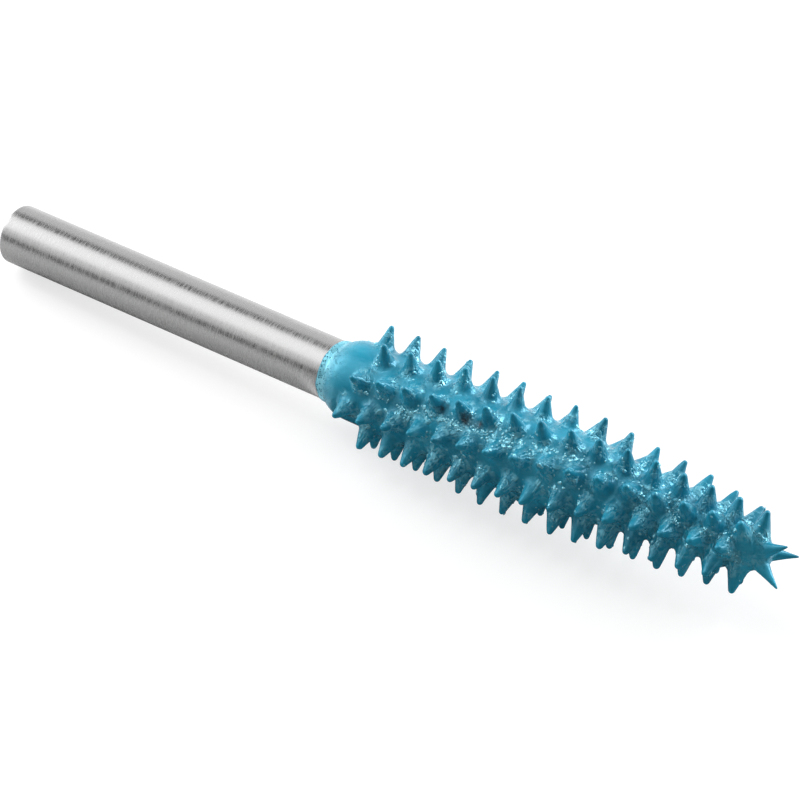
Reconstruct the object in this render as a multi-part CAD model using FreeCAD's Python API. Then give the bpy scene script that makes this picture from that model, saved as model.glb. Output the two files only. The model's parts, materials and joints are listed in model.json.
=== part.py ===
import FreeCAD, Part
import itertools
import math
import os

from FreeCAD import Matrix, Vector

# Rotary rasp: a round steel shank and a head of fused carbide with rows of teeth. Lengths are
# in millimetres and angles in degrees. The tool is modelled along +X, from the rear end of the
# shank at X = 0 to the nose, and is then laid down on the teeth that carry it.

# Shank
SHANK_DIAMETER = 3.175          # 1/8 in, the size of the collet that holds it
SHANK_EXPOSED = 21.2            # rear end to the rear edge of the head
SHANK_EDGE_BREAK = 0.12

# Body of the head, without its teeth
HEAD_LENGTH = 25.7              # rear edge to nose
BODY_STEP = 0.4925              # from the surface of the shank out to the body
COLLAR_LIP = 0.04               # step from the shank up to the rear edge of the head
COLLAR_LENGTH = 0.45
COLLAR_RISE = 0.06
SHOULDER_LENGTH = 1.1
TAPER_ANGLE = 7.0
NOSE_RADIUS = 0.85

# Teeth, in rows that wind slowly about the head
ROW_PHASE = -4.0                # angle of the last row at the twist datum
TWIST_DATUM = 4.13              # station from the rear edge of the head
TWIST_PER_MM = -3.05
TOOTH_PITCH = 1.504
STAGGER_STEPS = 3               # a row starts a third of a pitch before the row under it
TEETH_IN_ROWS = 16, 15, 15, 16, 15, 15, 15, 15, 16
FIRST_TOOTH = 2.39              # rear edge of the head to the rearmost teeth
TOOTH_HEIGHT = 1.165
TOOTH_GROWTH = 0.29             # what a tooth at the very nose has over one on the cylinder
TOOTH_UNEVENNESS = 0.045
UNEVENNESS_STEP = 82.5          # turn per tooth of the sine wave behind the uneven heights
TOOTH_SIDES = 6
TOOTH_ROOT = 0.45               # how far the foot of a tooth is sunk into the body
FOOT_RADIUS = 0.66
WAIST_RADIUS = 0.42
WAIST_SHARE = 0.30              # height of the waist over the height of the tooth
POINT_RADIUS = 0.165
POINT_SHARE = 0.90

# Spikes that splay from the nose
SPIKES = (-46.0, 2.30), (90.0, 2.27), (214.0, 2.22)  # angle about the axis, and length from the root
SPIKE_RAKE = 31.0
SPIKE_SETBACK = 0.35            # root of the spikes behind the nose, on the tool's axis
SPIKE_FOOT_RADIUS = 0.62
SPIKE_WAIST_RADIUS = 0.40
SPIKE_WAIST_SHARE = 0.35

# How the tool is put down before it rocks to its rest
UNDERSIDE = 140.0               # angle about the tool's axis that faces down
RIM_CONTACTS = 72               # points on the rear rim of the shank that may touch the ground

SHANK_RADIUS = SHANK_DIAMETER / 2
CORE_RADIUS = SHANK_RADIUS + BODY_STEP
HEAD_REAR = SHANK_EXPOSED
NOSE = HEAD_REAR + HEAD_LENGTH
TAPER = math.radians(TAPER_ANGLE)
NOSE_SEAM_X = NOSE - NOSE_RADIUS * (1 - math.sin(TAPER))
NOSE_SEAM_R = NOSE_RADIUS * math.cos(TAPER)
TAPER_START = NOSE_SEAM_X - (CORE_RADIUS - NOSE_SEAM_R) / math.tan(TAPER)
AXIS = Vector(1, 0, 0)


def radial(angle):
    """Unit vector square to the tool's axis: -Y at 0, turning right-handed about +X."""
    turn = math.radians(angle)
    return Vector(0, -math.cos(turn), -math.sin(turn))


def core_radius(x):
    """Radius of the head's body on its cylinder or on its taper."""
    return min(CORE_RADIUS, NOSE_SEAM_R + (NOSE_SEAM_X - x) * math.tan(TAPER))


def revolved(edges):
    """Solid of revolution about the tool's axis from the edges of a closed half section."""
    section = Part.Face(Part.Wire(Part.__sortEdges__(edges)))
    (solid,) = section.revolve(Vector(), AXIS, 360).Solids
    return solid


def section_lines(points):
    """Straight edges through (x, radius) points."""
    vectors = [Vector(x, r, 0) for x, r in points]
    return [Part.makeLine(a, b) for a, b in itertools.pairwise(vectors)]


def make_shank():
    """Round shank with a broken rear edge. Its flat front end meets the flat rear face of the head."""
    edge = SHANK_EDGE_BREAK
    rear = [(0, 0), (0, SHANK_RADIUS - edge), (edge, SHANK_RADIUS)]
    return revolved(section_lines([*rear, (HEAD_REAR, SHANK_RADIUS), (HEAD_REAR, 0), (0, 0)]))


def make_body():
    """Collar, shoulder, cylinder, taper and round nose of the head in one piece."""
    lip_r = SHANK_RADIUS + COLLAR_LIP
    collar_r = lip_r + COLLAR_RISE
    collar_x = HEAD_REAR + COLLAR_LENGTH
    shoulder_x = collar_x + SHOULDER_LENGTH
    rise = CORE_RADIUS - collar_r
    sweep = (SHOULDER_LENGTH**2 + rise**2) / (2 * rise)
    half = math.asin(SHOULDER_LENGTH / sweep) / 2
    shoulder = Part.Arc(
        Vector(collar_x, collar_r, 0),
        Vector(shoulder_x - sweep * math.sin(half), CORE_RADIUS - sweep * (1 - math.cos(half)), 0),
        Vector(shoulder_x, CORE_RADIUS, 0),
    )
    middle = (math.pi / 2 + TAPER) / 2
    nose = Part.Arc(
        Vector(NOSE_SEAM_X, NOSE_SEAM_R, 0),
        Vector(NOSE - NOSE_RADIUS * (1 - math.sin(middle)), NOSE_RADIUS * math.cos(middle), 0),
        Vector(NOSE, 0, 0),
    )
    rear = section_lines([(NOSE, 0), (HEAD_REAR, 0), (HEAD_REAR, lip_r), (collar_x, collar_r)])
    flank = section_lines([(shoulder_x, CORE_RADIUS), (TAPER_START, CORE_RADIUS), (NOSE_SEAM_X, NOSE_SEAM_R)])
    return revolved([*rear, shoulder.toShape(), *flank, nose.toShape()])


def thorn(root, direction, rings, height):
    """Closed flat-sided thorn and its tip, from rings of (distance along the direction, radius)."""
    side = direction.cross(AXIS)
    side.normalize()
    ahead = side.cross(direction)
    turns = [math.tau * i / TOOTH_SIDES for i in range(TOOTH_SIDES)]
    loops = [
        [root + direction * along + ahead * (radius * math.cos(t)) + side * (radius * math.sin(t)) for t in turns]
        for along, radius in rings
    ]
    tip = root + direction * height
    foot, top = loops[0], loops[-1]
    faces = [Part.Face(Part.makePolygon([*foot, foot[0]]))]
    for i in range(TOOTH_SIDES):
        j = (i + 1) % TOOTH_SIDES
        for low, high in itertools.pairwise(loops):
            faces.append(Part.Face(Part.makePolygon([low[i], low[j], high[j], high[i], low[i]])))
        faces.append(Part.Face(Part.makePolygon([top[i], top[j], tip, top[i]])))
    return Part.Solid(Part.Shell(faces)), tip


def tooth_places():
    """Station along the axis, angle about it and running number of every tooth."""
    number = 0
    for row, teeth in enumerate(TEETH_IN_ROWS):
        late = (-row) % STAGGER_STEPS
        start = HEAD_REAR + FIRST_TOOTH + late * TOOTH_PITCH / STAGGER_STEPS
        angle = ROW_PHASE + (row + 1) * 360 / len(TEETH_IN_ROWS)
        for place in range(teeth):
            x = start + place * TOOTH_PITCH
            yield x, angle + TWIST_PER_MM * (x - HEAD_REAR - TWIST_DATUM), number
            number += 1


def make_tooth(x, angle, number):
    """Tooth that stands square to the body at its station, and its tip."""
    out = radial(angle)
    lean = TAPER if x > TAPER_START else 0
    direction = out * math.cos(lean) + AXIS * math.sin(lean)
    growth = TOOTH_GROWTH * max(0, x - TAPER_START) / (NOSE - TAPER_START)
    uneven = TOOTH_UNEVENNESS * math.sin(math.radians(UNEVENNESS_STEP * number))
    height = TOOTH_HEIGHT + growth + uneven
    rings = [
        (-TOOTH_ROOT, FOOT_RADIUS),
        (WAIST_SHARE * height, WAIST_RADIUS),
        (POINT_SHARE * height, POINT_RADIUS),
    ]
    return thorn(AXIS * x + out * core_radius(x), direction, rings, height)


def make_spike(angle, length):
    """Slender spike that splays forward from the nose, and its tip."""
    rake = math.radians(SPIKE_RAKE)
    direction = AXIS * math.cos(rake) + radial(angle) * math.sin(rake)
    rings = [
        (0, SPIKE_FOOT_RADIUS),
        (SPIKE_WAIST_SHARE * length, SPIKE_WAIST_RADIUS),
    ]
    return thorn(AXIS * (NOSE - SPIKE_SETBACK), direction, rings, length)


def make_head():
    """Head with its teeth and spikes fused on, and all its tips."""
    teeth = [make_tooth(*place) for place in tooth_places()]
    spikes = [make_spike(*spike) for spike in SPIKES]
    solids, tips = zip(*teeth, *spikes)
    (head,) = make_body().fuse(list(solids)).Solids
    return head, tips


def rear_rim():
    """Points on the rear rim of the shank, which can touch the ground as the tips do."""
    turns = [360 * i / RIM_CONTACTS for i in range(RIM_CONTACTS)]
    return [AXIS * SHANK_EDGE_BREAK + radial(turn) * SHANK_RADIUS for turn in turns]


def balance_point(shapes):
    """Centre of mass of solids of one density."""
    volume = sum(shape.Volume for shape in shapes)
    total = Vector()
    for shape in shapes:
        total += shape.CenterOfMass * (shape.Volume / volume)
    return total


def tipped(normal, pivot, towards, contacts):
    """Tips the ground's outward normal about a pivot until the next contact: that normal and contact."""
    def turn(point):
        reach = point - pivot
        return math.atan2(-normal.dot(reach), towards.dot(reach))

    ahead = [point for point in contacts if towards.dot(point - pivot) > 1e-6]
    touched = min(ahead, key=turn)
    angle = turn(touched)
    return normal * math.cos(angle) + towards * math.sin(angle), touched


def in_plane(vector, normal):
    """Unit vector along the part of a vector that lies in the plane."""
    flat = vector - normal * vector.dot(normal)
    flat.normalize()
    return flat


def resting_plane(contacts, balance, down):
    """Rocks the tool from its start, always to the side of its balance point, until three contacts carry it."""
    first = max(contacts, key=down.dot)
    normal, second = tipped(down, first, in_plane(balance - first, down), contacts)
    across = normal.cross(second - first)
    across *= math.copysign(1 / across.Length, across.dot(balance - first))
    normal, third = tipped(normal, first, across, contacts)
    corners = first, second, third
    for _ in contacts:
        for a, b, c in (corners, corners[1:] + corners[:1], corners[2:] + corners[:2]):
            outward = normal.cross(b - a)
            outward *= -math.copysign(1 / outward.Length, outward.dot(c - a))
            if outward.dot(balance - a) > 0:
                normal, c = tipped(normal, a, outward, contacts)
                corners = a, b, c
                break
        else:
            break
    return normal, corners[0]


def lay_down(shapes, contacts):
    """Puts the tool on its resting plane at Z = 0, its axis over +X and the origin under the middle of its box."""
    normal, touching = resting_plane(contacts, balance_point(shapes), radial(UNDERSIDE))
    up = -normal
    ahead = in_plane(AXIS, up)
    left = up.cross(ahead)
    turn = Matrix(
        ahead.x, ahead.y, ahead.z, 0,
        left.x, left.y, left.z, 0,
        up.x, up.y, up.z, -up.dot(touching),
        0, 0, 0, 1,
    )
    laid = [shape.transformed(turn) for shape in shapes]
    middle = Part.makeCompound(laid).optimalBoundingBox().Center
    for shape in laid:
        shape.translate(Vector(-middle.x, -middle.y, 0))
    return laid


def main():
    head, tips = make_head()
    laid = lay_down([make_shank(), head], [*tips, *rear_rim()])
    os.makedirs("parts", exist_ok=True)
    for name, shape in zip(("shank", "head"), laid):
        shape.exportStep(f"parts/{name}.step")


main()
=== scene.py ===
"""Rotary rasp lying at rest: a ground steel shank and a blue head of fused carbide with rows of thorns."""

import json
import math

import bpy
import numpy as np
from mathutils import Matrix, Vector


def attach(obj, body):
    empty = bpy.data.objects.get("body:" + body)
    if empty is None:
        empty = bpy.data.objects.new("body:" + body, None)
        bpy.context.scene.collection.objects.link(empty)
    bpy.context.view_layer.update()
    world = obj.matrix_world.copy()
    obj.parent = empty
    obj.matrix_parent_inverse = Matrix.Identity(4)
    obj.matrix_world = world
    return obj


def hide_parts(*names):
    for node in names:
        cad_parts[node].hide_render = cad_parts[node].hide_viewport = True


bl_info = {
    "name": "Rotary Rasp",
    "version": (1, 0, 0),
    "blender": (4, 5, 0),
    "location": "View3D > Sidebar > Rasp",
    "description": "Builds a toothed rotary rasp, its finishes and a plain studio",
    "category": "Add Mesh",
}

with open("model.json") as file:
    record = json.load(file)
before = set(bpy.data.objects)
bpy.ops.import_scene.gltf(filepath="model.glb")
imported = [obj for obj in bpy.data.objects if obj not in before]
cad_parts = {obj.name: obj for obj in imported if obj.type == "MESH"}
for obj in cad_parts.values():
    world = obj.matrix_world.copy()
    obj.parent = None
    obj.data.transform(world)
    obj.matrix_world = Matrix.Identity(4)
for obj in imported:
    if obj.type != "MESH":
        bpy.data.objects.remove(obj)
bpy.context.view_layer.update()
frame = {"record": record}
SHANK_MOUNT = {mount["name"]: mount for mount in frame["record"]["mounts"]}["shank"]

# Lengths below are in millimetres and angles in degrees. A place on the tool is its station x
# from the rear end of the shank, its distance r from the axis and its angle about the axis.
MM = 0.001

# Shank
SHANK_EDGE_BREAK = 0.12
SHANK_LENGTH = SHANK_EDGE_BREAK + SHANK_MOUNT["dims"]["length_mm"]
SHANK_RADIUS = SHANK_MOUNT["dims"]["r_mm"]
SHANK_COLUMNS = 160
SHANK_RINGS = 60
SHANK_OVERLAP = 0.3             # length of steel under the coat's uneven edge

# Body of the head
HEAD_REAR = SHANK_LENGTH
NOSE = HEAD_REAR + 25.7
CORE_RADIUS = SHANK_RADIUS + 0.4925
LIP_RADIUS = SHANK_RADIUS + 0.04
COLLAR_X = HEAD_REAR + 0.45
COLLAR_RADIUS = LIP_RADIUS + 0.06
SHOULDER_X = COLLAR_X + 1.1
SHOULDER_SWEEP = 1.738          # radius of the shoulder's arc
TAPER = math.radians(7)
NOSE_RADIUS = 0.85
NOSE_CENTRE = NOSE - NOSE_RADIUS
NOSE_SEAM_X = NOSE_CENTRE + NOSE_RADIUS * math.sin(TAPER)
NOSE_SEAM_R = NOSE_RADIUS * math.cos(TAPER)
TAPER_START = NOSE_SEAM_X - (CORE_RADIUS - NOSE_SEAM_R) / math.tan(TAPER)
BODY_COLUMNS = 88
BODY_STEP = 0.16                # between rows of points along the body

# Edge of the coat on the steel
EDGE_LENGTH = 0.055             # over which it rises from the steel
EDGE_LIP = 0.02                 # height over the collar
EDGE_SUNK = 0.01                # depth of its start under the steel's surface
EDGE_STRAY = 0.045              # most that it strays along the axis
EDGE_WAVES = np.arange(2, 15)   # waves in one turn

# Teeth
TEETH_IN_ROWS = (16, 15, 15, 16, 15, 15, 15, 15, 16)
ROW_PHASE = -4.0
TWIST_DATUM = HEAD_REAR + 4.13
TWIST_PER_MM = -3.05
TOOTH_PITCH = 1.504
STAGGER_STEPS = 3
FIRST_TOOTH = HEAD_REAR + 2.39
TOOTH_HEIGHT = 1.165
TOOTH_GROWTH = 0.29
TOOTH_UNEVENNESS = 0.045
UNEVENNESS_STEP = 82.5
TOOTH_FLANK = 18.5              # half angle of a tooth
TOOTH_FILLET = 0.27
ROW_POINTS = (0.16, 0.18, 0.17, 0.15, 0.14, 0.15, 0.13, 0.13, 0.14)

# Spikes of the nose
SPIKE_ROOT = NOSE - 0.35
SPIKE_RAKE = 31.0
SPIKE_ANGLES = (-46.0, 90.0, 214.0)
SPIKE_LENGTHS = (2.30, 2.27, 2.22)
SPIKE_FLANK = 14.0
SPIKE_POINT = 0.05
SPIKE_FILLET = 0.36
SPIKE_DEPTH = 0.43              # how far its cone runs on behind its root

# Meshes of the teeth and the drops of coat on them
THORN_COLUMNS = 20
FILLET_RINGS = (1.2, 0.92, 0.68, 0.44, 0.2)
FLANK_RINGS = 8
BALL_RINGS = (0.72, 0.38)
NEIGHBOURS = 7                  # thorns looked at from each point of the surface
MARCH_STEPS = 34                # of the search along a ray from inside the head
MARCH_HALVINGS = 12
HOLD_STEPS = 26                 # of the search for a place that is inside the head
SLOPE_STEP = 0.006              # for normals
RELIEF_STEP = 0.012             # for the tilt that the relief adds
DROP_COLUMNS = 6
DROP_BENDS = (98, 64, 32)       # angles of a drop's rings from its top
DROP_FLATNESS = 0.5             # height of a drop over half its width
RUN_DROPS = 4                   # drops in the run down one tooth
LUMP_SIZES = (0.55, 0.22)       # of the soft lumps, broad and small
FLUTE_REACH = 0.16              # distance from a tooth at which its ridges have faded out

# Brown scorch marks: station, angle and radius
SCORCHES = ((28.2, -14, 0.28), (28.9, -12, 0.4), (30.4, -10, 0.4), (31.2, -9, 0.3))
SCORCH_HEIGHT = 2.2             # distance of their middles from the axis
GRIT_BAND = 16.0                # angle of the gritty stretch of the body at the twist datum
GRIT_BAND_WIDTH = 12.0          # angle over which it fades
GRIT_BAND_ENDS = (4.0, 16.5)    # from the rear of the head

# Lie of the tool, and the camera that took the photo
REST_ROLL = 140.791             # angle about the axis that faces down
CAMERA_TURN = 30.0              # of the view out of square with the axis, towards the nose
CAMERA_ROLL = 23.44
CAMERA_AIM = HEAD_REAR + 4.13
CAMERA_AIM_SIDE = 0.06
CAMERA_DISTANCE = 240.4
CAMERA_LENS = 216.0

# Lamps, in metres: direction from the tool, shift, distance, and width and height
OVER_SOFTBOX = (-0.05, -0.21, 0.976), (-0.4, 0, 0), 0.4, (0.65, 0.41)
RIM_SOFTBOX = (0.35, 0.90, 0.26), (0.1, 0, 0), 0.5, (0.95, 0.36)
REAR_SOFTBOX = (-0.93, -0.03, 0.34), (0, 0, 0.02), 0.5, (0.38, 0.3)
REAR_FILL = (-0.83, 0.12, 0.54), (0, 0, 0.02), 0.5, (0.4, 0.3)
SPARK = (-0.3, -0.1, 0.95), (0, 0, 0), 0.5, (0.05, 0.05)
REAR_SHARE = 0.09               # of the rim softbox's power
FILL_SHARE = 0.32
SPARK_SHARE = 0.2               # of the power of the softbox over the tool

# Linear levels of the floor, the surroundings and the cards
FLOOR_DIM = 0.75                # of the board for soft bounces
FLOOR_GLOW = 0.68               # light added where it is seen
WORLD_FILL = 0.34
BLACK_CARD = 0.03
GREY_CARD = 0.5

# Cards on the floor, in metres: middle of the far edge of each, and half its slanted side
GROUND_HALF_WIDTH = (0.25, 0, 0)
HEAD_GROUND = (0.2487, 0.002, 0.0002)
SHANK_GROUND = (-0.2523, 0.002, 0.0002)
GROUND_SLANT = (-0.14, -0.24, 0)

# Cards above it: how high over the level the upper one stands, and the direction of the room's card
TOP_FLAG_RISE = math.radians(58.5)
ROOM_DIRECTION = (0.706, -0.565, 0.421)


def linear(code):
    """Linear RGBA of an sRGB hex colour."""
    parts = [int(code[i:i + 2], 16) / 255 for i in (1, 3, 5)]
    return (*[p / 12.92 if p <= 0.04045 else ((p + 0.055) / 1.055) ** 2.4 for p in parts], 1.0)


def tool_frame():
    """Columns along the axis, at angle 0 and at angle 90, and the rear end of the shank, in mm."""
    axis = -np.array(SHANK_MOUNT["axis"])
    down = np.array([0.0, 0.0, -1.0])
    down -= axis * (axis @ down)
    down /= np.linalg.norm(down)
    side = np.cross(axis, down)
    roll = math.radians(REST_ROLL)
    first = math.cos(roll) * down - math.sin(roll) * side
    second = math.sin(roll) * down + math.cos(roll) * side
    middle = np.array(SHANK_MOUNT["pos_m"]) / MM
    rear = middle - axis * (SHANK_EDGE_BREAK + SHANK_LENGTH) / 2
    return np.stack([axis, first, second]), rear


TOOL, TOOL_REAR = tool_frame()


def placed(points):
    """Row frame, in metres, from points in the tool's own frame, in mm: rear + points x axes."""
    return (np.asarray(points) @ TOOL + TOOL_REAR) * MM


def smoothstep(t):
    """3t^2 - 2t^3 with t held between 0 and 1."""
    t = np.clip(t, 0, 1)
    return t * t * (3 - 2 * t)


def round_axis(x, r, turn):
    """Points at stations x, distances r from the axis and angles about it."""
    return np.stack(np.broadcast_arrays(x, r * np.cos(turn), r * np.sin(turn)), axis=-1)


def lumps(points, size, seed):
    """Lattice noise between -1 and 1: random values at the corners of cubes of that size, eased between."""
    lattice = np.random.default_rng(seed).uniform(-1, 1, (32, 32, 32))
    scaled = points / size + 1000.0
    cell = np.floor(scaled).astype(int)
    part = smoothstep(scaled - cell)
    total = np.zeros(points.shape[:-1])
    for corner in np.ndindex(2, 2, 2):
        weight = np.prod(np.where(corner, part, 1 - part), axis=-1)
        index = (cell + corner) % 32
        total += weight * lattice[index[..., 0], index[..., 1], index[..., 2]]
    return total


def closed_sheets(rows, first, last):
    """Points, quads and triangles of closed grids, each wrapped round an axis between two poles.

    rows is (sheet, ring, column, 3). Quads join (i, j), (i, j+1), (i+1, j+1) and (i+1, j).
    Fans of triangles close the poles.
    """
    sheets, rings, columns = rows.shape[:3]
    points = np.concatenate([rows.reshape(sheets, -1, 3), first[:, None], last[:, None]], axis=1)
    index = np.arange(rings * columns).reshape(rings, columns)
    beside = np.roll(index, -1, axis=1)
    quads = np.stack([index[:-1], beside[:-1], beside[1:], index[1:]], axis=-1).reshape(-1, 4)
    pole = rings * columns
    start = np.stack([np.full(columns, pole), beside[0], index[0]], axis=-1)
    end = np.stack([np.full(columns, pole + 1), index[-1], beside[-1]], axis=-1)
    fans = np.concatenate([start, end])
    shift = np.arange(sheets)[:, None, None] * (pole + 2)
    return points.reshape(-1, 3), (quads + shift).reshape(-1, 4), (fans + shift).reshape(-1, 3)


def new_piece(name, points, quads, fans):
    """Smooth mesh object of the row frame from points in the tool's own frame."""
    mesh = bpy.data.meshes.new(name)
    mesh.vertices.add(len(points))
    mesh.vertices.foreach_set("co", placed(points).ravel())
    sizes = np.concatenate([np.full(len(quads), 4), np.full(len(fans), 3)])
    loops = np.concatenate([quads.ravel(), fans.ravel()])
    mesh.loops.add(len(loops))
    mesh.loops.foreach_set("vertex_index", loops)
    mesh.polygons.add(len(sizes))
    mesh.polygons.foreach_set("loop_start", np.cumsum(sizes) - sizes)
    mesh.polygons.foreach_set("use_smooth", np.ones(len(sizes), bool))
    mesh.update(calc_edges=True)
    piece = bpy.data.objects.new(name, mesh)
    bpy.context.scene.collection.objects.link(piece)
    return piece


def body_radius(x):
    """Radius of the bare head: collar, arc of the shoulder, cylinder and taper."""
    rise = np.clip((x - HEAD_REAR) / (COLLAR_X - HEAD_REAR), 0, 1)
    collar = LIP_RADIUS + (COLLAR_RADIUS - LIP_RADIUS) * rise
    short = np.clip(SHOULDER_X - x, 0, SHOULDER_X - COLLAR_X)
    shoulder = CORE_RADIUS - SHOULDER_SWEEP + np.sqrt(SHOULDER_SWEEP**2 - short**2)
    taper = NOSE_SEAM_R + (NOSE_SEAM_X - x) * math.tan(TAPER)
    return np.where(x < COLLAR_X, collar, np.minimum(shoulder, taper))


def body_distance(x, r):
    """Distance outwards from the bare head: of its flank, or of the ball of the nose past its seam."""
    flank = (r - body_radius(x)) * np.where(x > TAPER_START, math.cos(TAPER), 1)
    ball = np.hypot(x - NOSE_CENTRE, r) - NOSE_RADIUS
    past = (x - NOSE_CENTRE) * math.cos(TAPER) > r * math.sin(TAPER)
    return np.where(past, ball, flank)


def unit(vectors):
    """Vectors scaled to length 1."""
    return vectors / np.maximum(np.linalg.norm(vectors, axis=-1, keepdims=True), 1e-12)


def thorn_table(seed):
    """Root, direction, sizes and neighbours of every tooth and spike.

    A tooth stands square to the body at the station and angle of its row. Its height follows the growth
    towards the nose and a sine of its running number. A spike starts on the axis and is raked off it.
    """
    stations, angles, rows = [], [], []
    for row, teeth in enumerate(TEETH_IN_ROWS):
        start = FIRST_TOOTH + (-row % STAGGER_STEPS) * TOOTH_PITCH / STAGGER_STEPS
        x = start + np.arange(teeth) * TOOTH_PITCH
        stations.append(x)
        angles.append(ROW_PHASE + (row + 1) * 360 / len(TEETH_IN_ROWS) + TWIST_PER_MM * (x - TWIST_DATUM))
        rows.append(np.full(teeth, row))
    x = np.concatenate(stations)
    turn = np.radians(np.concatenate(angles))
    row = np.concatenate(rows)
    random = np.random.default_rng(seed)
    nearness = np.clip((x - TAPER_START) / (NOSE - TAPER_START), 0, 1)
    lean = np.where(x > TAPER_START, TAPER, 0)
    r = np.minimum(CORE_RADIUS, NOSE_SEAM_R + (NOSE_SEAM_X - x) * math.tan(TAPER))
    height = TOOTH_HEIGHT + TOOTH_GROWTH * nearness
    height = height + TOOTH_UNEVENNESS * np.sin(np.radians(UNEVENNESS_STEP * np.arange(len(x))))
    teeth = {
        "root": round_axis(x, r, turn),
        "direction": round_axis(np.sin(lean), np.cos(lean), turn),
        "height": height,
        "point": np.array(ROW_POINTS)[row] * random.uniform(0.9, 1.12, len(x)) + 0.02 * nearness,
        "flank": np.radians(TOOTH_FLANK + 0.8 * nearness + random.uniform(-1, 1, len(x))),
        "fillet": np.full(len(x), TOOTH_FILLET),
        "depth": 0.5 * r,
    }
    rake = math.radians(SPIKE_RAKE)
    turn = np.radians(SPIKE_ANGLES)
    count = len(SPIKE_ANGLES)
    spikes = {
        "root": np.tile([SPIKE_ROOT, 0.0, 0.0], (count, 1)),
        "direction": round_axis(math.cos(rake), math.sin(rake), turn),
        "height": np.array(SPIKE_LENGTHS),
        "point": np.full(count, SPIKE_POINT),
        "flank": np.full(count, math.radians(SPIKE_FLANK)),
        "fillet": np.full(count, SPIKE_FILLET),
        "depth": np.full(count, SPIKE_DEPTH),
    }
    thorns = {key: np.concatenate([teeth[key], spikes[key]]) for key in teeth}
    thorns["side"] = unit(np.cross(thorns["direction"], [1.0, 0.0, 0.0]))
    thorns["over"] = np.cross(thorns["direction"], thorns["side"])
    point, flank = thorns["point"], thorns["flank"]
    thorns["foot"] = (point + (thorns["height"] - point) * np.sin(flank)) / np.cos(flank)
    middle = thorns["root"] + 0.3 * thorns["direction"] * thorns["height"][:, None]
    gaps = np.linalg.norm(middle[:, None] - middle, axis=-1)
    thorns["near"] = np.argsort(gaps, axis=1)[:, :NEIGHBOURS]
    thorns["middle"] = middle
    return thorns


def thorn_distance(points, thorns, chosen):
    """Distance from round-pointed cones: of the ball at the point, or of the straight flank below it.

    With z along the thorn from its root and s beside it, the ball of radius p is centred at z = height - p,
    and the flank is s cos(flank) + (z - height + p) sin(flank) = p. The cone ends at its depth below z = 0.
    """
    reach = points[:, None] - thorns["root"][chosen]
    z = np.einsum("nki,nki->nk", reach, thorns["direction"][chosen])
    s = np.sqrt(np.maximum(np.einsum("nki,nki->nk", reach, reach) - z * z, 0))
    point = thorns["point"][chosen]
    flank = thorns["flank"][chosen]
    above = z - thorns["height"][chosen] + point
    ball = np.hypot(s, above) - point
    cone = s * np.cos(flank) + above * np.sin(flank) - point
    over = above * np.cos(flank) > s * np.sin(flank)
    return np.maximum(np.where(over, ball, cone), -(z + thorns["depth"][chosen]))


def head_distance(points, thorns, chosen):
    """Distance outwards from body and thorns, less h^2 b / 4 in each fillet b, h = 1 - |difference| / b."""
    total = body_distance(points[:, 0], np.hypot(points[:, 1], points[:, 2]))
    beside = thorn_distance(points, thorns, chosen)
    for place in range(chosen.shape[1]):
        fillet = thorns["fillet"][chosen[:, place]]
        other = beside[:, place]
        share = np.maximum(1 - np.abs(total - other) / fillet, 0)
        total = np.minimum(total, other) - share * share * fillet / 4
    return total


def slope(field, points, step):
    """Gradient of a field by differences over a short step each way."""
    parts = []
    for axis in np.eye(3):
        parts.append((field(points + axis * step) - field(points - axis * step)) / (2 * step))
    return np.stack(parts, axis=-1)


def nearest_thorns(points, thorns):
    """Numbers of the thorns whose lower half is nearest to each point."""
    middle = thorns["middle"]
    gaps = (points**2).sum(-1)[:, None] - 2 * points @ middle.T + (middle**2).sum(-1)
    return np.argpartition(gaps, NEIGHBOURS, axis=1)[:, :NEIGHBOURS]


def way_out(start, ray, far, thorns, chosen):
    """Distance along each ray from its start inside the head to where it first leaves it.

    Each step is most of the depth under the surface, and the last step is then halved.
    """
    reach = np.zeros(len(start))
    inside = np.zeros(len(start))
    done = np.zeros(len(start), bool)
    for _ in range(MARCH_STEPS):
        depth = -head_distance(start + ray * reach[:, None], thorns, chosen)
        done |= depth <= 0
        inside = np.where(done, inside, reach)
        reach = np.where(done, reach, np.minimum(reach + np.maximum(0.8 * depth, 0.008), far))
    for _ in range(MARCH_HALVINGS):
        middle = (inside + reach) / 2
        out = head_distance(start + ray * middle[:, None], thorns, chosen) > 0
        reach = np.where(out, middle, reach)
        inside = np.where(out, inside, middle)
    return reach


def ray_starts(number, s, turn, thorns):
    """Places beside the thorns' axes, at distance s and that turn, just above the lower end of each thorn."""
    side = thorns["side"][number] * np.cos(turn)[:, None] + thorns["over"][number] * np.sin(turn)[:, None]
    ray = thorns["direction"][number]
    return thorns["root"][number] - ray * (thorns["depth"][number] - 0.01)[:, None] + side * s[:, None]


def held_inside(number, s, turn, thorns):
    """Distances from the thorns' axes, made shorter in steps where a ray would start outside the head."""
    chosen = thorns["near"][number]
    for _ in range(HOLD_STEPS):
        out = head_distance(ray_starts(number, s, turn, thorns), thorns, chosen) > -0.01
        s = np.where(out, 0.95 * s, s)
    return s


def on_thorns(number, s, turn, thorns):
    """Points of the head over places beside the thorns' axes: along each thorn, up from inside the body."""
    start = ray_starts(number, s, turn, thorns)
    ray = thorns["direction"][number]
    far = thorns["height"][number] + thorns["depth"][number]
    return start, start + ray * way_out(start, ray, far, thorns, thorns["near"][number])[:, None]


def nearest_thorn_places(points, thorns, chosen):
    """Of the nearest thorn: number, distance, height above its root, and place beside its axis as u and v."""
    beside = thorn_distance(points, thorns, chosen)
    nearest = beside.argmin(axis=1)[:, None]
    number = np.take_along_axis(chosen, nearest, axis=1)[:, 0]
    gap = np.take_along_axis(beside, nearest, axis=1)[:, 0]
    reach = points - thorns["root"][number]
    z = (reach * thorns["direction"][number]).sum(-1)
    u = (reach * thorns["side"][number]).sum(-1)
    v = (reach * thorns["over"][number]).sum(-1)
    return number, gap, z, u, v


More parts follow.
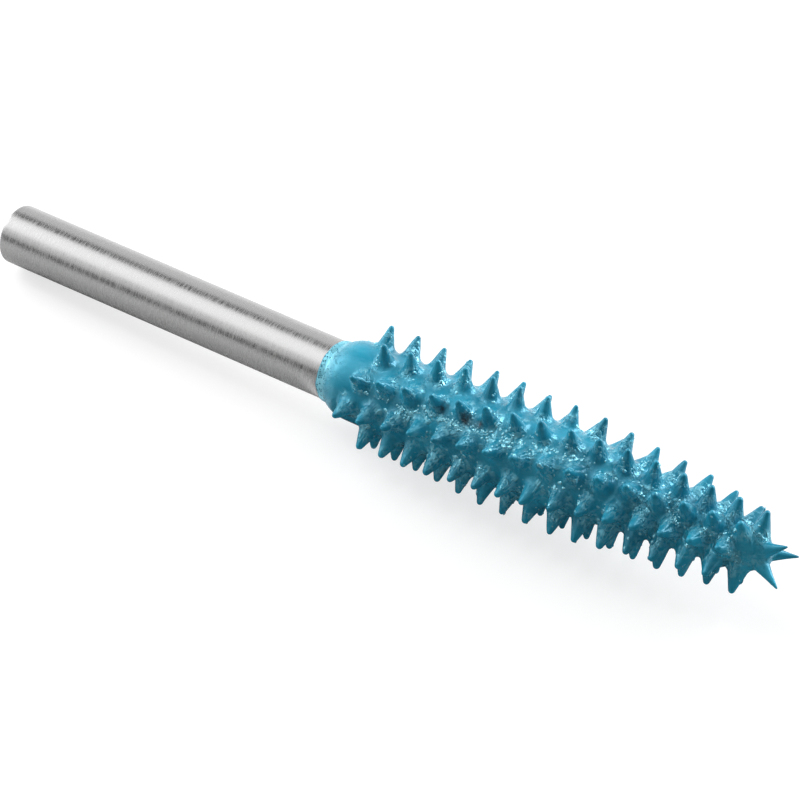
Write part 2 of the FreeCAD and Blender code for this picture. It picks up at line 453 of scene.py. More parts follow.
def flute_places(number, z, u, v):
    """Places for streaks that run down a thorn: direction about its axis, and height moved by its number."""
    s = np.maximum(np.hypot(u, v), 0.05)
    return np.stack([1.5 * u / s, 1.5 * v / s, z / 1.1 + 3.7 * number], axis=-1)


def relief(points, thorns, chosen, seed):
    """Share of the full height of the soft lumps all over and of the ridges down each tooth, like set drips.

    A ridge is lattice noise of the direction about the tooth's axis and of the height, which changes slowly.
    """
    number, gap, z, u, v = nearest_thorn_places(points, thorns, chosen)
    ridge = lumps(flute_places(number, z, u, v), 1.0, seed + 2)
    top = thorns["height"][number] - z
    where = smoothstep(1 - gap / FLUTE_REACH) * smoothstep((top - 0.02) / 0.3)
    broad, small = LUMP_SIZES
    soft = 0.6 * lumps(points, broad, seed) + 0.4 * lumps(points, small, seed + 1)
    return 0.55 * soft + 0.8 * where * ridge


def dressed(points, normals, thorns, chosen, shape):
    """Points moved out along their normals by the relief, and normals tilted to suit."""
    def height(places):
        return relief(places, thorns, chosen, shape.seed) * shape.lump_height / MM

    rise = slope(height, points, RELIEF_STEP)
    rise -= normals * (rise * normals).sum(-1, keepdims=True)
    return points + normals * height(points)[:, None], unit(normals - rise)


def body_sheet(thorns, shape):
    """Rows of points and normals of the bare head: coat edge, collar, shoulder, cylinder, taper and nose.

    A profile of (x, r) is carried round the axis. The rear edge is a quarter ellipse, moved along the axis by
    waves of the angle alone.
    """
    turn = np.arange(BODY_COLUMNS) * math.tau / BODY_COLUMNS
    random = np.random.default_rng(shape.seed)
    phase = random.uniform(0, math.tau, len(EDGE_WAVES))
    height = random.uniform(0.4, 1, len(EDGE_WAVES)) / EDGE_WAVES**0.4
    uneven = (height * np.sin(EDGE_WAVES * turn[:, None] + phase)).sum(-1)
    uneven *= EDGE_STRAY / np.abs(uneven).max()
    bend = np.radians(np.linspace(0, 90, 6))
    rim = LIP_RADIUS + EDGE_LIP - SHANK_RADIUS
    edge_x = HEAD_REAR + EDGE_LENGTH * (1 - np.cos(bend))
    edge_r = SHANK_RADIUS - EDGE_SUNK + (rim + EDGE_SUNK) * np.sin(bend)
    collar_x = np.linspace(HEAD_REAR + 0.09, COLLAR_X - 0.02, 7)
    open_x = np.concatenate([
        np.linspace(COLLAR_X + 0.04, SHOULDER_X, 10, endpoint=False),
        np.arange(SHOULDER_X, NOSE_SEAM_X - 0.5 * BODY_STEP, BODY_STEP),
    ])
    outer_x = np.concatenate([collar_x, open_x])
    outer_r = body_radius(outer_x) + EDGE_LIP * (1 - smoothstep((outer_x - HEAD_REAR) / 0.5))
    cap = np.linspace(TAPER, math.pi / 2, 9)[:-1]
    inner_x = HEAD_REAR + np.array([0.3, 0.06])
    x = np.concatenate([inner_x, edge_x, outer_x, NOSE_CENTRE + NOSE_RADIUS * np.sin(cap)])
    r = np.concatenate([[1.0, SHANK_RADIUS - 0.04], edge_r, outer_r, NOSE_RADIUS * np.cos(cap)])
    loose = np.concatenate([[0, 1], np.ones(len(edge_x)), np.linspace(1, 0, len(collar_x))])
    loose = np.append(loose, np.zeros(len(x) - len(loose)))
    along = np.stack([np.gradient(x[2:]), np.gradient(r[2:])], axis=-1)
    out = unit(np.stack([-along[:, 1], along[:, 0]], axis=-1))
    out = np.concatenate([[[-1, 0], [-1, 0]], out])
    rows = round_axis(x[:, None] + uneven * loose[:, None], r[:, None], turn)
    normals = round_axis(out[:, :1], out[:, 1:], turn)
    points = rows[2:].reshape(-1, 3)
    moved, tilted = dressed(points, normals[2:].reshape(-1, 3), thorns, nearest_thorns(points, thorns), shape)
    fade = smoothstep((points[:, :1] - HEAD_REAR - 0.03) / 0.3)
    rows[2:] = (points + (moved - points) * fade).reshape(rows[2:].shape)
    normals[2:] = unit(normals[2:].reshape(-1, 3) * (1 - fade) + tilted * fade).reshape(rows[2:].shape)
    poles = np.array([[[HEAD_REAR + 0.3, 0, 0]], [[NOSE, 0, 0]]])
    faces = np.array([[[-1.0, 0, 0]], [[1.0, 0, 0]]])
    return (rows[None], *poles), (normals[None], *faces)


def thorn_sheets(thorns, shape):
    """Rings of points and normals of every tooth and spike, from under its foot up to its point."""
    count = len(thorns["height"])
    ball = thorns["point"] * np.cos(thorns["flank"])
    share = np.linspace(1, 0, FLANK_RINGS)
    s = np.concatenate([
        thorns["foot"][:, None] + thorns["fillet"][:, None] * np.array(FILLET_RINGS),
        ball[:, None] + (thorns["foot"] - ball)[:, None] * share,
        ball[:, None] * np.array(BALL_RINGS),
    ], axis=1)
    rings = s.shape[1]
    turn = np.arange(THORN_COLUMNS) * math.tau / THORN_COLUMNS
    number = np.repeat(np.arange(count), rings * THORN_COLUMNS)
    turns = np.tile(turn, count * rings)
    held = held_inside(number, np.repeat(s.ravel(), THORN_COLUMNS), turns, thorns)
    held = np.maximum.accumulate(held.reshape(count, rings, THORN_COLUMNS)[:, ::-1], axis=1)[:, ::-1]
    start, points = on_thorns(number, held.ravel(), turns, thorns)
    tips = thorns["root"] + thorns["direction"] * thorns["height"][:, None]
    shell = np.concatenate([points, tips])
    chosen = thorns["near"][np.concatenate([number, np.arange(count)])]
    normals = unit(slope(lambda places: head_distance(places, thorns, chosen), shell, SLOPE_STEP))
    shell, normals = dressed(shell, normals, thorns, chosen, shape)
    grid = count, rings, THORN_COLUMNS, 3
    bottom = thorns["root"] - thorns["direction"] * thorns["depth"][:, None]
    sunk = bottom[:, None, None] + 0.85 * (start.reshape(grid)[:, :1] - bottom[:, None, None])
    shell_rows = shell[:-count].reshape(grid)
    shell_tilts = normals[:-count].reshape(grid)
    hem = shell_rows[:, :1] - 0.06 * shell_tilts[:, :1]
    down = -np.broadcast_to(thorns["direction"][:, None, None], sunk.shape)
    rows = np.concatenate([sunk, hem, shell_rows], axis=1)
    tilts = np.concatenate([down, shell_tilts[:, :1], shell_tilts], axis=1)
    return (rows, bottom, shell[-count:]), (tilts, -thorns["direction"], normals[-count:])


def drop_sheets(thorns, shape):
    """Rings of points and normals of the drops of coat: low half balls with their rims under the surface.

    They set round the feet of the teeth, in runs down their flanks and scattered between two of the rows.
    """
    random = np.random.default_rng(shape.seed + 11)
    teeth = len(thorns["height"]) - len(SPIKE_ANGLES)
    lean = random.uniform(0, math.tau, (teeth, 2))
    around = random.integers(0, teeth, shape.foot_drops)
    around_s = thorns["foot"][around] + random.triangular(-0.2, 0.05, 0.3, len(around))
    around_turn = lean[around, random.integers(0, 2, len(around))] + random.normal(0, 0.5, len(around))
    run = np.repeat(np.arange(teeth), RUN_DROPS)
    run_turn = lean[run, 0] + random.normal(0, 0.2, len(run))
    run_s = 0.13 + (thorns["foot"][run] - 0.05) * random.uniform(0, 1, len(run))
    number = np.concatenate([around, run])
    turns = np.concatenate([around_turn, run_turn])
    held = held_inside(number, np.concatenate([around_s, run_s]), turns, thorns)
    _, points = on_thorns(number, held, turns, thorns)
    chosen = thorns["near"][number]
    x = random.uniform(HEAD_REAR + 4.5, HEAD_REAR + 16.0, shape.stray_drops)
    turn = np.radians(GRIT_BAND + TWIST_PER_MM * (x - TWIST_DATUM) + random.normal(0, 8, len(x)))
    wide = random.random(len(x)) < 0.06
    x = np.where(wide, random.uniform(HEAD_REAR + 0.9, NOSE - 2.0, len(x)), x)
    turn = np.where(wide, random.uniform(0, math.tau, len(x)), turn)
    stray = round_axis(x, body_radius(x), turn)
    points = np.concatenate([points, stray])
    chosen = np.concatenate([chosen, nearest_thorns(stray, thorns)])
    normals = unit(slope(lambda places: head_distance(places, thorns, chosen), points, SLOPE_STEP))
    points, normals = dressed(points, normals, thorns, chosen, shape)
    side = unit(np.cross(normals, random.normal(0, 1, points.shape)))
    over = np.cross(normals, side)
    size = (0.5 * shape.drop_width / MM * random.lognormal(0, 0.35, len(points)))[:, None, None, None]
    longer = random.uniform(1.0, 1.8, len(points))[:, None, None, None]
    bend = np.radians(DROP_BENDS)[None, :, None, None]
    turn = (np.arange(DROP_COLUMNS) * math.tau / DROP_COLUMNS)[None, None, :, None]
    spread = longer * side[:, None, None] * np.cos(turn) + over[:, None, None] * np.sin(turn)
    swell = side[:, None, None] * np.cos(turn) / longer + over[:, None, None] * np.sin(turn)
    up = normals[:, None, None]
    rows = points[:, None, None] + size * (spread * np.sin(bend) + DROP_FLATNESS * up * np.cos(bend))
    tilts = unit(swell * np.sin(bend) + up * np.cos(bend) / DROP_FLATNESS)
    size = size[:, 0, 0]
    bottom = points - 0.3 * size * normals
    return (rows, bottom, points + DROP_FLATNESS * size * normals), (tilts, -normals, normals)


def marks(points, thorns, chosen):
    """For the finish: grit, gritty band, worn rim and scorch of each point, 0 to 1, and its flute place. The
    rim carries real pits, their painted shade and a painted sheen.
    """
    number, gap, z, u, v = nearest_thorn_places(points, thorns, chosen)
    flute = flute_places(number, z, u, v)
    grit = np.exp(-((np.maximum(gap - 0.06, 0) / 0.15) ** 2)) * smoothstep((1.15 - z) / 0.5)
    x = points[:, 0]
    turn = np.degrees(np.arctan2(points[:, 2], points[:, 1]))
    off = (turn - GRIT_BAND - TWIST_PER_MM * (x - TWIST_DATUM) + 180) % 360 - 180
    past = x - HEAD_REAR
    start, end = GRIT_BAND_ENDS
    band = np.exp(-((off / GRIT_BAND_WIDTH) ** 2)) * smoothstep((past - start) / 1.5)
    band = band * smoothstep((end - past) / 2)
    rim_wear_and_sheen = np.maximum(smoothstep(1 - (past - 0.5) / 0.5), 0.3 * smoothstep(1 - (past - 0.8) / 1.2))
    rim = rim_wear_and_sheen * smoothstep((past - 0.02) / 0.06)
    x, turn, size = np.array(SCORCHES).T
    spots = round_axis(x, SCORCH_HEIGHT, np.radians(turn))
    gaps = np.linalg.norm(points[:, None] - spots, axis=-1)
    scorch = np.exp(-((gaps / size) ** 2)).max(axis=1)
    return {"grit": np.maximum(grit, band), "band": band, "rim": rim, "scorch": scorch, "flute": flute}


def add(tree, kind, inputs=None, **settings):
    """Adds a node: inputs are values, or outputs to link from, by the name or number of the socket."""
    node = tree.nodes.new("ShaderNode" + kind)
    for name, value in settings.items():
        setattr(node, name, value)
    for key, value in (inputs or {}).items():
        if isinstance(value, bpy.types.NodeSocket):
            tree.links.new(value, node.inputs[key])
        else:
            node.inputs[key].default_value = value
    return node


def ramp(tree, factor, stops):
    """Colour from a ramp between two (position, colour) stops."""
    node = add(tree, "ValToRGB", {"Fac": factor})
    for element, (position, colour) in zip(node.color_ramp.elements, stops):
        element.position = position
        element.color = colour
    return node.outputs["Color"]


def maths(tree, operation, *values, **settings):
    """Output of a Math node with values or other outputs in it."""
    return add(tree, "Math", dict(enumerate(values)), operation=operation, **settings).outputs[0]


def remap(tree, value, low, high, to_low=0.0, to_high=1.0, curve="LINEAR"):
    """Value moved from the range low to high into another range, and held in it."""
    inputs = {"Value": value, "From Min": low, "From Max": high, "To Min": to_low, "To Max": to_high}
    return add(tree, "MapRange", inputs, interpolation_type=curve).outputs[0]


def blend(tree, factor, first, second, kind="RGBA", **settings):
    """Mix of two colours or numbers."""
    inputs = {"Factor": factor, "A": first, "B": second}
    return add(tree, "Mix", inputs, data_type=kind, **settings).outputs["Result"]


def noise(tree, place, scale, detail, **inputs):
    """Noise between 0 and 1 with features of 1 / scale."""
    return add(tree, "TexNoise", {"Vector": place, "Scale": scale, "Detail": detail, **inputs}).outputs["Fac"]


def seen_rays(tree):
    """1 for rays from the camera, in reflections and through glass, and 0 for all others."""
    rays = add(tree, "LightPath")
    seen = maths(tree, "MAXIMUM", rays.outputs["Is Camera Ray"], rays.outputs["Is Glossy Ray"])
    return maths(tree, "MAXIMUM", seen, rays.outputs["Is Transmission Ray"])


def new_material(name):
    """Empty node material and its tree, with a Principled shader joined to the output."""
    material = bpy.data.materials.new(name)
    material.use_nodes = True
    tree = material.node_tree
    tree.nodes.clear()
    shader = add(tree, "BsdfPrincipled")
    add(tree, "OutputMaterial", {"Surface": shader.outputs[0]})
    return material, tree, shader


def grey(level):
    """Opaque grey of that linear level."""
    return (level, level, level, 1)


def ground_steel(colour):
    """Centreless-ground steel: marks round the shank break the edges of every reflection into fine teeth."""
    material, tree, shader = new_material("centreless_ground_steel")
    place = add(tree, "TexCoord").outputs["Object"]
    pitch = -math.asin(TOOL[0][2])
    level = add(tree, "Mapping", {"Vector": place, "Rotation": (0, -pitch, 0)}, vector_type="POINT")
    # A grinding mark is a few microns wide. Marks 0.09 mm wide and up to 1 mm long are what shows.
    short = add(tree, "Mapping", {"Vector": level.outputs[0], "Scale": (11000, 1500, 1500)})
    fine = noise(tree, short.outputs[0], 1.0, 2.0, Roughness=0.6)
    long = add(tree, "Mapping", {"Vector": level.outputs[0], "Scale": (5200, 650, 650)})
    broad = noise(tree, long.outputs[0], 1.0, 2.0)
    streak = blend(tree, 0.35, fine, broad, "FLOAT")
    rough = remap(tree, streak, 0.3, 0.7, 0.17, 0.36)
    tone = ramp(tree, streak, [(0.3, grey(0.9)), (0.7, grey(1.0))])
    base = blend(tree, 1.0, (*colour, 1), tone, blend_type="MULTIPLY")
    bump = add(tree, "Bump", {"Strength": 0.25, "Distance": 0.00003, "Height": streak})
    tangent = add(tree, "Tangent", direction_type="UV_MAP", uv_map="round")
    shader.inputs["Metallic"].default_value = 1.0
    shader.inputs["Anisotropic"].default_value = 0.6
    shader.inputs["Anisotropic Rotation"].default_value = 0.0
    tree.links.new(base, shader.inputs["Base Color"])
    tree.links.new(rough, shader.inputs["Roughness"])
    tree.links.new(bump.outputs[0], shader.inputs["Normal"])
    tree.links.new(tangent.outputs[0], shader.inputs["Tangent"])
    return material


def blue_coat(colour, thick_and_pit_shade, painted_highlight):
    """Teal lacquer baked over fused carbide: glossy, crumpled round the teeth and scorched in places."""
    material, tree, shader = new_material("baked_lacquer_over_fused_carbide")
    place = add(tree, "TexCoord").outputs["Object"]
    grit = add(tree, "Attribute", attribute_name="grit").outputs["Fac"]
    band = add(tree, "Attribute", attribute_name="band").outputs["Fac"]
    flute = add(tree, "Attribute", attribute_name="flute").outputs["Vector"]
    bead = add(tree, "Attribute", attribute_name="bead").outputs["Fac"]
    rim = add(tree, "Attribute", attribute_name="rim").outputs["Fac"]
    scorch = add(tree, "Attribute", attribute_name="scorch").outputs["Fac"]
    # Patches 0.5 to 1 mm wide, in which the lacquer has drawn up into crumples 0.2 mm wide.
    patch = remap(tree, noise(tree, place, 1300.0, 1.0), 0.42, 0.6, 0.1)
    where = maths(tree, "MULTIPLY", patch, grit)
    crumple = noise(tree, place, 4600.0, 1.0, Distortion=0.7)
    ridged = remap(tree, crumple, 0.38, 0.62, curve="SMOOTHSTEP")
    # Streaks 0.1 to 0.3 mm wide where it ran down the teeth before it set.
    streaked = remap(tree, noise(tree, flute, 2.6, 1.0), 0.46, 0.64, curve="SMOOTHSTEP")
    either = blend(tree, band, streaked, ridged, "FLOAT")
    raised = maths(tree, "MULTIPLY", blend(tree, 0.6, either, ridged, "FLOAT"), where)
    # Soft swell of the lacquer over the grain, 0.4 mm.
    swell = noise(tree, place, 2400.0, 1.0)
    # Pits of the rim, about 0.1 mm across.
    cells = add(tree, "TexVoronoi", {"Vector": place, "Scale": 7000.0, "Randomness": 1.0}, feature="F1")
    pitted = maths(tree, "MULTIPLY", remap(tree, cells.outputs["Distance"], 0.15, 0.4, 1.0, 0.0), rim)
    height = maths(tree, "MULTIPLY_ADD", pitted, -1.2, maths(tree, "MULTIPLY_ADD", swell, 0.5, raised))
    bump = add(tree, "Bump", {"Strength": 0.8, "Distance": 0.00006, "Height": height})
    # Darker where it lies thick, in clouds 2 mm wide. Painted highlight: paler on the crumple ridges, streaks
    # and drops, and a painted sheen on the rim.
    tint = ramp(tree, noise(tree, place, 420.0, 2.0), [(0.35, (*thick_and_pit_shade, 1)), (0.65, (*colour, 1))])
    glints = maths(tree, "MULTIPLY_ADD", raised, 0.55, maths(tree, "MULTIPLY", bead, 0.7))
    # Painted sheen on the rim, in soft patches.
    rim_wear_and_sheen = maths(tree, "MULTIPLY", swell, rim)
    pale = maths(tree, "MULTIPLY_ADD", rim_wear_and_sheen, 1.2, glints, use_clamp=True)
    # Painted shade: the pits of the rim take the thick coat's darker colour.
    coated = blend(tree, pitted, blend(tree, pale, tint, (*painted_highlight, 1)), (*thick_and_pit_shade, 1))
    # Lacquer burnt brown to black.
    blotted = maths(tree, "MULTIPLY", noise(tree, place, 3800.0, 3.0), scorch)
    burnt = remap(tree, blotted, 0.12, 0.52, 0.0, 0.85)
    base = blend(tree, burnt, coated, linear("#2a1612"))
    # Glossier where it drew together.
    rough = remap(tree, maths(tree, "MAXIMUM", where, bead, use_clamp=True), 0.0, 1.0, 0.25, 0.13)
    metal = maths(tree, "MULTIPLY_ADD", pale, 0.6, 0.12)
    shader.inputs["IOR"].default_value = 1.48
    shader.inputs["Specular Tint"].default_value = linear("#d4f4ff")
    tree.links.new(metal, shader.inputs["Metallic"])
    tree.links.new(base, shader.inputs["Base Color"])
    tree.links.new(rough, shader.inputs["Roughness"])
    tree.links.new(bump.outputs[0], shader.inputs["Normal"])
    return material


class RaspFinish(bpy.types.PropertyGroup):
    steel: bpy.props.FloatVectorProperty(
        name="Steel", description="Colour of the ground steel", subtype="COLOR", min=0, max=1,
        default=linear("#b7b7b7")[:3],
    )
    coat: bpy.props.FloatVectorProperty(
        name="Coat", description="Colour of most of the coat", subtype="COLOR", min=0, max=1,
        default=linear("#1f89a4")[:3],
    )
    # Also the painted shade in the pits of the rim.
    coat_thick_and_pit_shade: bpy.props.FloatVectorProperty(
        name="Thick coat", description="Colour of the coat where it is thick", subtype="COLOR", min=0, max=1,
        default=linear("#157089")[:3],
    )
    # Painted highlight: the pale colour laid on crumple ridges, streaks, drops and the rim, where light
    # catches them.
    coat_painted_highlight: bpy.props.FloatVectorProperty(
        name="Thin coat", description="Colour of the coat where it is thin", subtype="COLOR", min=0, max=1,
        default=linear("#94dcec")[:3],
    )


class RaspShape(bpy.types.PropertyGroup):
    lump_height: bpy.props.FloatProperty(
        name="Lumps", description="Height of the soft lumps of the head", default=0.028 * MM, min=0,
        max=0.1 * MM, subtype="DISTANCE", unit="LENGTH", precision=6,
    )
    drop_width: bpy.props.FloatProperty(
        name="Drop width", description="Width of the small drops of coat", default=0.11 * MM, min=0.02 * MM,
        max=0.3 * MM, subtype="DISTANCE", unit="LENGTH", precision=6,
    )
    foot_drops: bpy.props.IntProperty(
        name="Drops at the feet", description="Number of drops round the feet of the teeth", default=620,
        min=0,
    )
    stray_drops: bpy.props.IntProperty(
        name="Stray drops", description="Number of drops between the rows", default=220, min=0
    )
    seed: bpy.props.IntProperty(
        name="Seed", description="Number that the uneven details follow from", default=7, min=0
    )


class RaspStudio(bpy.types.PropertyGroup):
    key_light: bpy.props.FloatProperty(
        name="Softbox", description="Power of the softbox over the tool", default=0.7, min=0, subtype="POWER",
        unit="POWER",
    )
    rim_light: bpy.props.FloatProperty(
        name="Rim softbox", description="Power of the low softbox on the far side", default=7.4, min=0,
        subtype="POWER", unit="POWER",
    )
    floor: bpy.props.FloatVectorProperty(
        name="Floor", description="Colour of the floor", subtype="COLOR", min=0, max=1,
        default=linear("#9c9c9c")[:3],
    )


class RASP_OT_shank(bpy.types.Operator):
    """Adds the ground steel shank."""

    bl_idname = "rasp.shank"
    bl_label = "Shank"

    def execute(self, context):
        finish = context.scene.rasp_finish
        bend = np.radians(np.linspace(0, 90, 7))
        edge_x = SHANK_EDGE_BREAK * (1 - np.cos(bend))
        edge_r = SHANK_RADIUS - SHANK_EDGE_BREAK * (1 - np.sin(bend))
        x = np.concatenate([[0.0, 0.0], edge_x, np.linspace(0.3, SHANK_LENGTH + SHANK_OVERLAP, SHANK_RINGS)])
        x = np.append(x, x[-1])
        r = np.concatenate([[0.5, 1.0], edge_r, np.full(SHANK_RINGS, SHANK_RADIUS), [0.8]])
        turn = np.arange(SHANK_COLUMNS) * math.tau / SHANK_COLUMNS + math.radians(REST_ROLL)
        rows = round_axis(x[:, None], r[:, None], turn)
        first = np.array([[0.0, 0.0, 0.0]])
        last = np.array([[x[-1], 0.0, 0.0]])
        points, quads, fans = closed_sheets(rows[None], first, last)
        piece = new_piece("ground_shank", points, quads, fans)
        self.unroll(piece.data, points, quads, fans)
        piece.data.materials.append(ground_steel(finish.steel))
        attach(piece, "root")
        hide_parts("shank")
        return {"FINISHED"}

    def unroll(self, mesh, points, quads, fans):
        """UV map of the share of the turn and the station, so that grinding marks follow the turn."""
        loops = np.concatenate([quads.ravel(), fans.ravel()])
        column = loops % SHANK_COLUMNS
        strip = np.arange(len(quads) + len(fans)) % SHANK_COLUMNS
        strip = np.repeat(strip, np.concatenate([np.full(len(quads), 4), np.full(len(fans), 3)]))
        turn = (column + SHANK_COLUMNS * ((strip == SHANK_COLUMNS - 1) & (column == 0))) / SHANK_COLUMNS
        places = np.stack([turn, points[loops, 0] / SHANK_LENGTH], axis=-1)
        mesh.uv_layers.new(name="round").data.foreach_set("uv", places.ravel())


class RASP_OT_head(bpy.types.Operator):
    """Adds the toothed head with its blue coat."""

    bl_idname = "rasp.head"
    bl_label = "Toothed head"

    def execute(self, context):
        finish = context.scene.rasp_finish
        shape = context.scene.rasp_shape
        thorns = thorn_table(shape.seed)
        sheets = [body_sheet(thorns, shape), thorn_sheets(thorns, shape), drop_sheets(thorns, shape)]
        points, quads, fans, normals = [], [], [], []
        count = 0
        for rows, tilts in sheets:
            here, four, three = closed_sheets(*rows)
            points.append(here)
            normals.append(closed_sheets(*tilts)[0])
            quads.append(four + count)
            fans.append(three + count)
            count += len(here)
        beads = np.repeat([0.0, 0.0, 1.0], [len(here) for here in points])
        points = np.concatenate(points)
        piece = new_piece("toothed_head", points, np.concatenate(quads), np.concatenate(fans))
        values = marks(points, thorns, nearest_thorns(points, thorns))
        for label, value in {**values, "bead": beads}.items():
            layer = piece.data.attributes.new(label, "FLOAT" if value.ndim == 1 else "FLOAT_VECTOR", "POINT")
            layer.data.foreach_set("value" if value.ndim == 1 else "vector", value.ravel())
        piece.data.normals_split_custom_set_from_vertices(np.concatenate(normals) @ TOOL)
        piece.data.materials.append(blue_coat(finish.coat, finish.coat_thick_and_pit_shade, finish.coat_painted_highlight))
        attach(piece, "root")
        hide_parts("head")
        return {"FINISHED"}


class RASP_OT_stage(bpy.types.Operator):
    """Adds the pale floor, the soft light and the camera."""

    bl_idname = "rasp.stage"
    bl_label = "Stage"

    def execute(self, context):
        studio = context.scene.rasp_studio
        self.floor(studio.floor)
        self.lamps(studio.key_light, studio.rim_light)
        self.flags()
        self.world()
        self.camera(context)
        return {"FINISHED"}

    def card(self, name, middle, across, up, material):
        """Flat rectangle about a middle point, spanned by half its width and half its height, in metres."""
        middle, across, up = Vector(middle), Vector(across), Vector(up)
        corners = [middle - across - up, middle + across - up, middle + across + up, middle - across + up]
        mesh = bpy.data.meshes.new(name)
        mesh.from_pydata(corners, [], [(0, 1, 2, 3)])
        mesh.materials.append(material)
        card = bpy.data.objects.new(name, mesh)
        bpy.context.scene.collection.objects.link(card)
        return card

    def floor(self, colour):
        """Matt white board that looks white to the camera and in reflections, and keeps the tool's shadow."""
        material = bpy.data.materials.new("matt_white_board")
        material.use_nodes = True
        tree = material.node_tree
        tree.nodes.clear()
        board = add(tree, "BsdfDiffuse", {"Color": (*colour, 1)})
        dim = add(tree, "BsdfDiffuse", {"Color": grey(FLOOR_DIM)})
        glow = add(tree, "Emission", {"Color": (1, 1, 1, 1), "Strength": FLOOR_GLOW})
        lifted = add(tree, "AddShader", {0: board.outputs[0], 1: glow.outputs[0]})
        mixed = add(tree, "MixShader", {0: seen_rays(tree), 1: dim.outputs[0], 2: lifted.outputs[0]})
        add(tree, "OutputMaterial", {"Surface": mixed.outputs[0]})
        self.card("floor", (0, 0, 0), (3, 0, 0), (0, 3, 0), material)

    def lamps(self, key, rim):
        """Softboxes over the tool, low on its far side and behind its shank, and a small bright lamp."""
        self.softbox("over_softbox", OVER_SOFTBOX, key)
        self.softbox("rim_softbox", RIM_SOFTBOX, rim)
        self.softbox("rear_softbox", REAR_SOFTBOX, REAR_SHARE * rim)
        fill = self.softbox("rear_fill", REAR_FILL, FILL_SHARE * rim)
        fill.visible_glossy = False
        self.softbox("spark", SPARK, SPARK_SHARE * key)

    def flags(self):
        """Cards that only reflections see: dark bands for the steel, a dim room and the ground."""
        black = self.matt("black_card", BLACK_CARD)
        pale = self.matt("grey_card", GREY_CARD)
        high = Vector((0, math.cos(TOP_FLAG_RISE), math.sin(TOP_FLAG_RISE)))
        across = Vector((0, -high.z, high.y))
        ahead = Vector(ROOM_DIRECTION).normalized()
        level = Vector((0, 0, 1)).cross(ahead).normalized()
        lift = Vector((0, 0, 0.04))
        half = GROUND_HALF_WIDTH
        slant = Vector(GROUND_SLANT)
        flags = (
            self.card("front_flag", (0, -0.35, 0.088), (0.5, 0, 0), (0, 0, 0.068), black),
            self.card("top_flag", high * 0.42 + Vector((-0.375, 0, 0)), (0.135, 0, 0), across * 0.085, black),
            self.card("room_card", ahead * 0.5 + lift, level * 0.42, ahead.cross(level) * 0.27, black),
            self.card("head_ground", Vector(HEAD_GROUND) + slant, half, slant, black),
            self.card("shank_ground", Vector(SHANK_GROUND) + slant, half, slant, pale),
        )
        for flag in flags:
            flag.visible_camera = False
            flag.visible_diffuse = False
            flag.visible_shadow = False

    def matt(self, name, level):
        """Matt grey of that linear level."""
        material = bpy.data.materials.new(name)
        material.use_nodes = True
        material.node_tree.nodes["Principled BSDF"].inputs["Base Color"].default_value = grey(level)
        material.node_tree.nodes["Principled BSDF"].inputs["Roughness"].default_value = 0.9
        return material

    def softbox(self, name, place, power):
        """Rectangular lamp that faces back along its direction, and is returned for its settings."""
        toward, shift, distance, size = place
        toward = Vector(toward).normalized()
        lamp = bpy.data.lights.new(name, "AREA")
        lamp.shape = "RECTANGLE"
        lamp.size, lamp.size_y = size
        lamp.energy = power
        softbox = bpy.data.objects.new(name, lamp)
        softbox.matrix_world = Matrix.Translation(toward * distance + Vector(shift)) @ self.facing(toward)
        bpy.context.scene.collection.objects.link(softbox)
        return softbox

    def facing(self, toward):
        """Turn that points a lamp's -Z away from a direction, its X kept level."""
        side = Vector((0, 1, 0)).cross(toward).normalized()
        up = toward.cross(side)
        return Matrix((side, up, toward)).transposed().to_4x4()

    def world(self):
        """White surroundings to the camera and in reflections, and a weak fill for everything else."""
        world = bpy.data.worlds.new("studio")
        world.use_nodes = True
        tree = world.node_tree
        tree.nodes.clear()
        strength = remap(tree, seen_rays(tree), 0.0, 1.0, WORLD_FILL, 1.0)
        back = add(tree, "Background", {"Color": (1, 1, 1, 1), "Strength": strength})
        add(tree, "OutputWorld", {"Surface": back.outputs[0]})
        bpy.context.scene.world = world

    def camera(self, context):
        """Long lens at the photo's angle, aimed at the axis near the rear of the head."""
        turn = math.radians(CAMERA_TURN)
        roll = math.radians(CAMERA_ROLL)
        axis, first, second = TOOL
        ahead = math.cos(turn) * axis - math.sin(turn) * first
        back = math.sin(turn) * axis + math.cos(turn) * first
        right = math.cos(roll) * ahead - math.sin(roll) * second
        up = -math.sin(roll) * ahead - math.cos(roll) * second
        aim = TOOL_REAR + axis * CAMERA_AIM + second * CAMERA_AIM_SIDE
        place = (aim + back * CAMERA_DISTANCE) * MM
        lens = bpy.data.cameras.new("camera")
        lens.lens = CAMERA_LENS
        lens.sensor_width = 36
        lens.sensor_height = 36
        lens.sensor_fit = "AUTO"
        lens.clip_start = 0.01
        lens.clip_end = 20
        camera = bpy.data.objects.new("camera", lens)
        turned = Matrix((Vector(right), Vector(up), Vector(back))).transposed().to_4x4()
        camera.matrix_world = Matrix.Translation(Vector(place)) @ turned
        context.scene.collection.objects.link(camera)
        context.scene.camera = camera


class RASP_PT_tool(bpy.types.Panel):
    bl_label = "Rotary Rasp"
    bl_idname = "RASP_PT_tool"
    bl_space_type = "VIEW_3D"
    bl_region_type = "UI"
    bl_category = "Rasp"

    def draw(self, context):
        layout = self.layout
        for group in (context.scene.rasp_shape, context.scene.rasp_finish, context.scene.rasp_studio):
            box = layout.box()
            for name in group.__annotations__:
                box.prop(group, name)
        for operator in PIECES:
            layout.operator(operator.bl_idname)


PIECES = (RASP_OT_shank, RASP_OT_head, RASP_OT_stage)
CLASSES = (RaspFinish, RaspShape, RaspStudio, *PIECES, RASP_PT_tool)


def register():
    for cls in CLASSES:
        bpy.utils.register_class(cls)
    bpy.types.Scene.rasp_finish = bpy.props.PointerProperty(type=RaspFinish)
    bpy.types.Scene.rasp_shape = bpy.props.PointerProperty(type=RaspShape)
    bpy.types.Scene.rasp_studio = bpy.props.PointerProperty(type=RaspStudio)


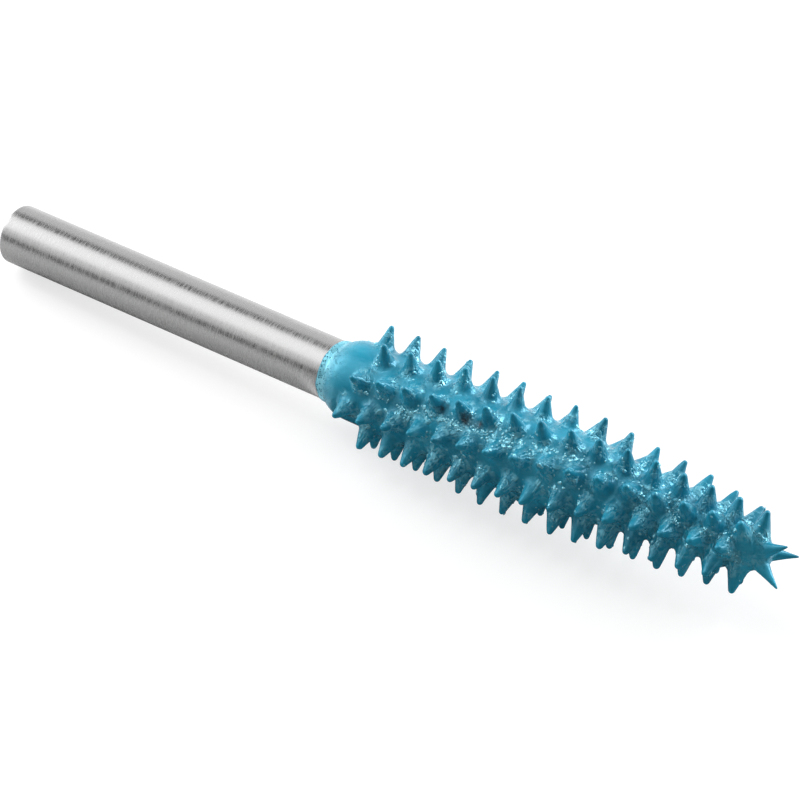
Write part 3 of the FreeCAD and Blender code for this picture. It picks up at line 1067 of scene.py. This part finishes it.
def unregister():
    del bpy.types.Scene.rasp_studio
    del bpy.types.Scene.rasp_shape
    del bpy.types.Scene.rasp_finish
    for cls in reversed(CLASSES):
        bpy.utils.unregister_class(cls)


def main():
    register()
    bpy.ops.rasp.shank()
    bpy.ops.rasp.head()
    bpy.ops.rasp.stage()
    context = bpy.context
    context.scene.view_settings.view_transform = "Standard"
    context.view_layer.update()


if __name__ == "__main__":
    main()
